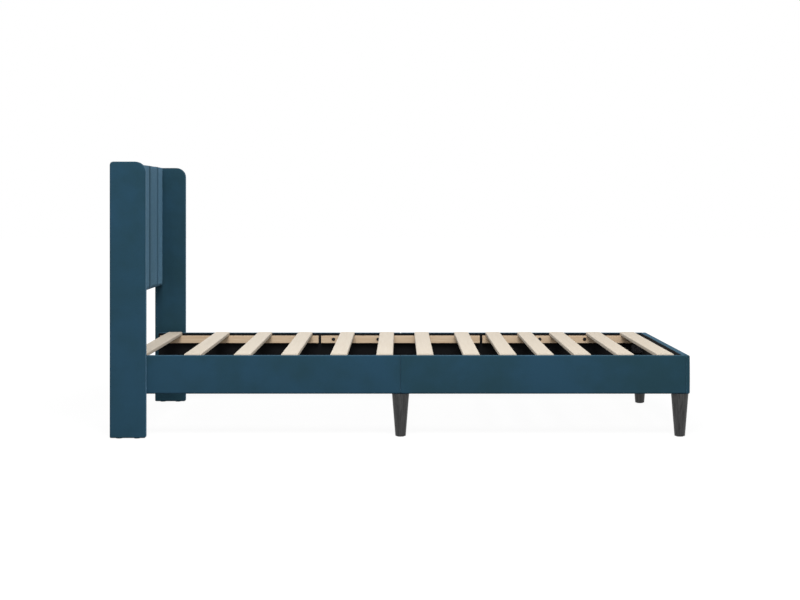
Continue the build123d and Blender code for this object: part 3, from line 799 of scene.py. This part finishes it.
for sideName, side in sides.items():
    for endName, end in ends.items():
        makeSideRail(sideName, side, endName, end)
print("side rails made")


def makeFootRail():
    low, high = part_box("foot_rail_cover")
    coreLow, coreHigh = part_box("foot_rail_core")
    liningLow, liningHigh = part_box("foot_rail_lining")
    sideLow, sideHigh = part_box("left_foot_rail_cover")
    endRound = rail["endRound"] * mm
    zRounds = (rail["bottomRound"] * mm, rail["topRound"] * mm)
    xLines = railLines(low.x, high.x, rail["thinLines"])
    yLines = ruled(low.y, high.y, rail["step"] * mm, endRound)
    zLines = railLines(low.z, high.z, rail["highLines"])

    def place(x, y, z):
        xRounds = (rail["innerRound"] * mm, railRadius(z, low, rail))
        p = roundOver((x, y, z), low, high, (xRounds, (endRound, endRound), zRounds))
        outward = (p.x - (low.x + high.x) / 2) / ((high.x - low.x) / 2)
        if outward > rail["crownFrom"]:
            puff = puffShare(p, low, high, 1, rail)
            p.x += outward * (rail["crown"] * mm * puff + softRipple(*p, footRailSeed, rail) * puff)
        return p

    mesh = meshFrom("foot_rail_cover", *skin(xLines, yLines, zLines, place))
    over = rail["overrun"] * mm
    for side in sides.values():  # the notches that the side rails' ends fill
        notch = sorted((side * sideLow.y, side * (sideHigh.y + over)))
        mesh = cutBox(
            mesh,
            (low.x - over, notch[0], low.z - over),
            (sideHigh.x, notch[1], high.z + over),
        )
    inner = rail["wrap"] * mm
    mesh = cutBox(mesh, (sideHigh.x + inner, coreLow.y, coreLow.z), coreHigh)
    mesh = cutBox(
        mesh,
        (coreLow.x, inner - sideLow.y, coreLow.z),
        (sideHigh.x + 2 * inner, sideLow.y - inner, coreHigh.z),
    )
    mesh = cutBox(
        mesh,
        (liningLow.x - inner, liningLow.y, liningLow.z),
        (liningHigh.x + mm, liningHigh.y, liningHigh.z + rail["liningRise"] * mm),
    )
    addPiece("foot_rail_cover", mesh, "velvet", ["foot_rail_cover"])


makeFootRail()
print("foot rail made")


# Lining and back cloth: thin black sheets, pulled flat and stapled round their edges
cloth = {"thickness": 0.7, "ripple": 0.3, "rippleSize": 90, "step": 12, "edgeFade": 15}


def makeSheet(name, normalAxis, outward, rise=0):
    low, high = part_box(name)
    high.z += rise * mm
    flatAxes = [a for a in range(3) if a != normalAxis]
    lines = [None, None, None]
    for axis in flatAxes:
        lines[axis] = ruled(low[axis], high[axis], cloth["step"] * mm)
    # The outer face lies just inside the node's own, and the ripples go inwards from there
    top = high[normalAxis] if outward > 0 else low[normalAxis]
    lines[normalAxis] = sorted((top - outward * cloth["thickness"] * mm, top))

    def place(x, y, z):
        p = Vector((x, y, z))
        toEdge = min(min(p[a] - low[a], high[a] - p[a]) for a in flatAxes)
        fade = min(1, toEdge / (cloth["edgeFade"] * mm))
        wave = noise.noise(p / (cloth["rippleSize"] * mm)) * cloth["ripple"] * mm * fade
        p[normalAxis] += outward * (wave - cloth["ripple"] * mm * 0.5)
        return p

    sheet = addPiece(name, meshFrom(name, *skin(*lines, place)), "lining_cloth", [name])


for sideName, side in sides.items():
    for endName in ends:
        stem = f"{sideName}_{endName}_rail"
        makeSheet(stem + "_lining", 1, -side, rail["liningRise"])
makeSheet("foot_rail_lining", 0, -1, rail["liningRise"])
makeSheet("headboard_back_cloth", 0, -1)
print("linings made")


# Turned and headed pieces: a profile of (radius, height) in mm, spun about a line
def turned(profile, foot, along, segments, hexFrom=None):
    # From hexFrom on, the profile's radii are those of a hexagonal socket, at its flats
    along = Vector(along)
    across = along.orthogonal().normalized()
    other = along.cross(across)
    points, faces = [], []
    for step, (radius, height) in enumerate(profile[1:-1]):
        for k in range(segments):
            turn = 2 * math.pi * k / segments
            reach = radius
            if hexFrom is not None and step + 1 >= hexFrom:
                reach /= math.cos((turn + math.pi / 6) % (math.pi / 3) - math.pi / 6)
            outward = across * math.cos(turn) * reach + other * math.sin(turn) * reach
            points.append(foot + (outward + along * height) * mm)
    rings = len(profile) - 2
    for ring in range(rings - 1):
        for k in range(segments):
            a, b = ring * segments + k, ring * segments + (k + 1) % segments
            faces.append((a, b, b + segments, a + segments))
    for ring, height in ((0, profile[0][1]), (rings - 1, profile[-1][1])):
        points.append(foot + along * height * mm)
        hub = len(points) - 1
        for k in range(segments):
            a, b = ring * segments + k, ring * segments + (k + 1) % segments
            faces.append((b, a, hub) if ring == 0 else (a, b, hub))
    return points, faces


def islandBoxes(name):
    # The box of each separate solid in a CAD node
    shape = bmesh.new()
    shape.from_mesh(frame["nodes"][name].data)
    bmesh.ops.remove_doubles(shape, verts=shape.verts, dist=hair)
    seen, boxes = set(), []
    for start in shape.verts:
        if start in seen:
            continue
        seen.add(start)
        waiting, group = [start], []
        while waiting:
            vert = waiting.pop()
            group.append(vert.co.copy())
            for edge in vert.link_edges:
                other = edge.other_vert(vert)
                if other not in seen:
                    seen.add(other)
                    waiting.append(other)
        boxes.append(tuple(
            Vector([pick(c[a] for c in group) for a in range(3)]) for pick in (min, max)))
    shape.free()
    return boxes


def footOf(low, high):
    return Vector(((low.x + high.x) / 2, (low.y + high.y) / 2, low.z))


leg = {"topRadius": 31, "footRadius": 18.8, "footRound": 0.8, "bevelShare": 0.3, "segments": 72}


def makeLeg(name):
    low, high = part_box(name)
    height = (high.z - low.z) / mm
    radius, soft = leg["footRadius"], leg["footRound"]
    bevel = soft * leg["bevelShare"]
    profile = [
        (0, 0), (radius - soft, 0), (radius - bevel, bevel), (radius, soft),
        (leg["topRadius"], height), (0, height),
    ]
    mesh = meshFrom(name, *turned(profile, footOf(low, high), (0, 0, 1), leg["segments"]))
    addPiece(name, mesh, "stained_leg_wood", [name])


for sideName in sides:
    for place in ("mid", "foot"):
        makeLeg(f"{sideName}_{place}_leg")

glide = {"round": 0.8, "segments": 36}
glideParts = []
for low, high in islandBoxes("floor_glides"):
    radius, height = (high.x - low.x) / 2 / mm, (high.z - low.z) / mm
    soft = glide["round"]
    profile = [(0, 0), (radius - soft, 0), (radius, soft), (radius, height), (0, height)]
    glideParts.append(turned(profile, footOf(low, high), (0, 0, 1), glide["segments"]))
glideMesh = meshFrom("floor_glides", *joined(glideParts))
addPiece("floor_glides", glideMesh, "glide_plastic", ["floor_glides"])
print("legs and glides made")


# Button-headed bolts and screws: each has a domed head with a hexagon socket
headed = {
    "batten_bolts": {"shank": 4, "head": 5, "socket": 2.5, "depth": 3},
    "wing_bolts": {"shank": 4, "head": 5, "socket": 2.5, "depth": 3},
    "corner_bracket_screws": {"shank": 2.2, "head": 2.5, "socket": 1.25, "depth": 1.5},
}
domeShares = ((1, 0.3), (0.96, 0.52), (0.84, 0.76), (0.66, 0.93), (0.5, 1))  # of radius and height
headSegments = 36
tipBevel, tipShare = 0.8, 0.8  # mm, and share of the shank


def boltProfile(headRadius, length, look):
    head, shank, socket = look["head"], look["shank"], look["socket"]
    tip, floorOfSocket = head - length, head - look["depth"]
    dome = [(headRadius * outShare, head * upShare) for outShare, upShare in domeShares]
    return [
        (0, tip), (shank * tipShare, tip), (shank, tip + tipBevel), (shank, 0), (headRadius, 0),
        *dome, (socket, head), (socket, floorOfSocket), (0, floorOfSocket),
    ]


for name, look in headed.items():
    parts = []
    for low, high in islandBoxes(name):
        size = high - low
        axis = max(range(3), key=lambda a: size[a])  # bolts run along Y, the foot's screws along X
        along = Vector((0, 0, 0))
        along[axis] = -1 if (low[axis] + high[axis]) > 0 else 1  # the head faces the bed's middle
        seat = (low + high) / 2
        seat[axis] = (low if along[axis] < 0 else high)[axis] - along[axis] * look["head"] * mm
        headRadius = size[2] / 2 / mm
        profile = boltProfile(headRadius, size[axis] / mm, look)
        parts.append(turned(profile, seat, along, headSegments, hexFrom=len(profile) - 3))
    addPiece(name, meshFrom(name, *joined(parts)), "black_steel", [name])
print("bolts and screws made")


# Blackened wire staples that hold the linings and the back cloth, a hand's breadth apart
staple = {
    "crown": 10, "wire": 1.2, "thick": 0.6, "leg": 1.5,
    "bend": 0.4, "innerBend": 0.2, "lift": 0.02,
    "pitch": 68, "inset": 4, "headGap": 80, "middleGap": 70, "footGap": 60,
}


def stapleBar(middle, along, outward):
    # The crown lies on the cloth, and its ends turn down into the wood
    along, outward = Vector(along), Vector(outward)
    wide = along.cross(outward)
    half, thick, down = staple["crown"] / 2, staple["thick"], -staple["leg"]
    bent, within = half - staple["bend"], half - thick
    bentWithin = within - staple["innerBend"]
    outer = [(-half, down), (-half, thick / 2), (-bent, thick)]
    inner = [(-within, down), (-within, 0), (-bentWithin, staple["lift"])]
    outer += [(-x, z) for x, z in reversed(outer)]
    inner += [(-x, z) for x, z in reversed(inner)]
    points, faces = [], []
    for (ox, oz), (ix, iz) in zip(outer, inner):
        for x, z, w in ((ox, oz, -1), (ox, oz, 1), (ix, iz, 1), (ix, iz, -1)):
            points.append(middle + (along * x + outward * z + wide * w * staple["wire"] / 2) * mm)
    for k in range(len(outer) - 1):
        for c in range(4):
            a, b = 4 * k + c, 4 * k + (c + 1) % 4
            faces.append((a, b, b + 4, a + 4))
    last = len(points) - 4
    faces += [(3, 2, 1, 0), (last, last + 1, last + 2, last + 3)]
    return points, faces


def rowOfStaples(start, stop, outward):
    run = stop - start
    count = max(2, round(run.length / (staple["pitch"] * mm)))
    middles = [start + run * (k + 0.5) / count for k in range(count)]
    return [stapleBar(middle, run.normalized(), outward) for middle in middles]


staples = []
inset = staple["inset"] * mm
for sideName, side in sides.items():
    for endName in ends:
        low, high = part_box(f"{sideName}_{endName}_rail_lining")
        face = low.y if side > 0 else high.y
        for level in (low.z + inset, high.z + rail["liningRise"] * mm - inset / 2):
            near = max(abs(low.x), abs(high.x)) - staple["headGap"] * mm
            far = staple["middleGap"] * mm
            start, stop = Vector((far, face, level)), Vector((near, face, level))
            if endName == "head":
                start.x, stop.x = -start.x, -stop.x
            staples += rowOfStaples(start, stop, (0, -side, 0))
low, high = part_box("foot_rail_lining")
gap = staple["footGap"] * mm
for level in (low.z + inset, high.z + rail["liningRise"] * mm - inset / 2):
    start, stop = Vector((low.x, low.y + gap, level)), Vector((low.x, high.y - gap, level))
    staples += rowOfStaples(start, stop, (-1, 0, 0))
low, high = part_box("headboard_back_cloth")
for start, stop in (
    ((low.y + inset, low.z + inset), (high.y - inset, low.z + inset)),
    ((low.y + inset, high.z - inset), (high.y - inset, high.z - inset)),
    ((low.y + inset, low.z + 2 * inset), (low.y + inset, high.z - 2 * inset)),
    ((high.y - inset, low.z + 2 * inset), (high.y - inset, high.z - 2 * inset)),
):
    staples += rowOfStaples(Vector((low.x, *start)), Vector((low.x, *stop)), (-1, 0, 0))
addPiece("lining_staples", meshFrom("lining_staples", *joined(staples)), "black_steel")
print("staples made:", len(staples))


# Floor and light: a white floor that keeps a soft shadow, a white surround for the camera
# and reflections, a broad overhead light, a softer one from the camera's side and a weak one
# from behind, so that the far sides aren't black
light = {
    "ambient": 0.3,
    "key": {"place": (0.0, -4.2, 5.2), "aim": (0.0, 0.0, 0.3), "size": (3.2, 2.2), "watts": 305},
    "fill": {"place": (0.3, -5.4, 2.7), "aim": (0.0, 0.0, 0.4), "size": (5.0, 2.4), "watts": 97},
    "rear": {"place": (-1.2, 4.9, 1.9), "aim": (0.0, 0.0, 0.5), "size": (4.0, 2.0), "watts": 32},
}
ground = {
    "size": 60,
    "near": 1.4, "far": 3.2,  # metres from the bed's middle, where the floor turns pure white
    "nearGlow": 0.93,
    "seenColour": "#575757",  # how much of the shadow the camera sees
    "bounceColour": "#707070",
}


def addLamp(name, look):
    lampData = bpy.data.lights.new(name, "AREA")
    lampData.shape = "RECTANGLE"
    lampData.size, lampData.size_y = look["size"]
    lampData.energy = look["watts"]
    lamp = bpy.data.objects.new(name, lampData)
    lamp.location = look["place"]
    beam = Vector(look["aim"]) - Vector(look["place"])
    lamp.rotation_euler = beam.to_track_quat("-Z", "Y").to_euler()
    lamp.visible_camera = False
    scene.collection.objects.link(lamp)


for name in ("key", "fill", "rear"):
    addLamp(name + "Light", light[name])

world = bpy.data.worlds.new("studio")
world.use_nodes = True
worldTree = world.node_tree
worldTree.nodes.clear()
scene.world = world


def seenDirectly(tree):
    # 1 for the camera, mirrors and glass, 0 for the light that falls on things
    ray = addNode(tree, "LightPath").outputs
    mirrored = addNode(tree, "Math", {
        0: ray["Is Camera Ray"], 1: ray["Is Glossy Ray"]}, operation="MAXIMUM")
    through = addNode(tree, "Math", {
        0: mirrored.outputs[0], 1: ray["Is Transmission Ray"]}, operation="MAXIMUM")
    return through.outputs[0]


strength = addNode(worldTree, "MapRange", {
    "Value": seenDirectly(worldTree), "To Min": light["ambient"], "To Max": 1.0})
surround = addNode(worldTree, "Background", {
    "Color": (1, 1, 1, 1), "Strength": strength.outputs[0]})
addNode(worldTree, "OutputWorld", {"Surface": surround.outputs[0]})

floorMaterial, floorTree = newMaterial("studioFloorPainted")
seen = seenDirectly(floorTree)
fromMiddle = addNode(floorTree, "VectorMath", {
    0: addNode(floorTree, "TexCoord").outputs["Object"]}, operation="LENGTH")
whiteness = addNode(floorTree, "MapRange", {
    "Value": fromMiddle.outputs["Value"], "From Min": ground["near"], "From Max": ground["far"],
    "To Min": ground["nearGlow"], "To Max": 1.0}, interpolation_type="SMOOTHSTEP")
glow = addNode(floorTree, "Math", {0: seen, 1: whiteness.outputs[0]}, operation="MULTIPLY")
paint = mixColours(floorTree, seen, linear(ground["bounceColour"]), linear(ground["seenColour"]))
painted = addNode(floorTree, "BsdfDiffuse", {"Color": paint})
lit = addNode(floorTree, "Emission", {"Color": (1, 1, 1, 1), "Strength": glow.outputs[0]})
both = addNode(floorTree, "AddShader", {0: painted.outputs[0], 1: lit.outputs[0]})
addNode(floorTree, "OutputMaterial", {"Surface": both.outputs[0]})
half = ground["size"] / 2
floorCorners = [(-half, -half, 0), (half, -half, 0), (half, half, 0), (-half, half, 0)]
floorMesh = meshFrom("floor", floorCorners, [(0, 1, 2, 3)])
floorMesh.materials.append(floorMaterial)
floor = bpy.data.objects.new("floor", floorMesh)
scene.collection.objects.link(floor)
print("stage set")
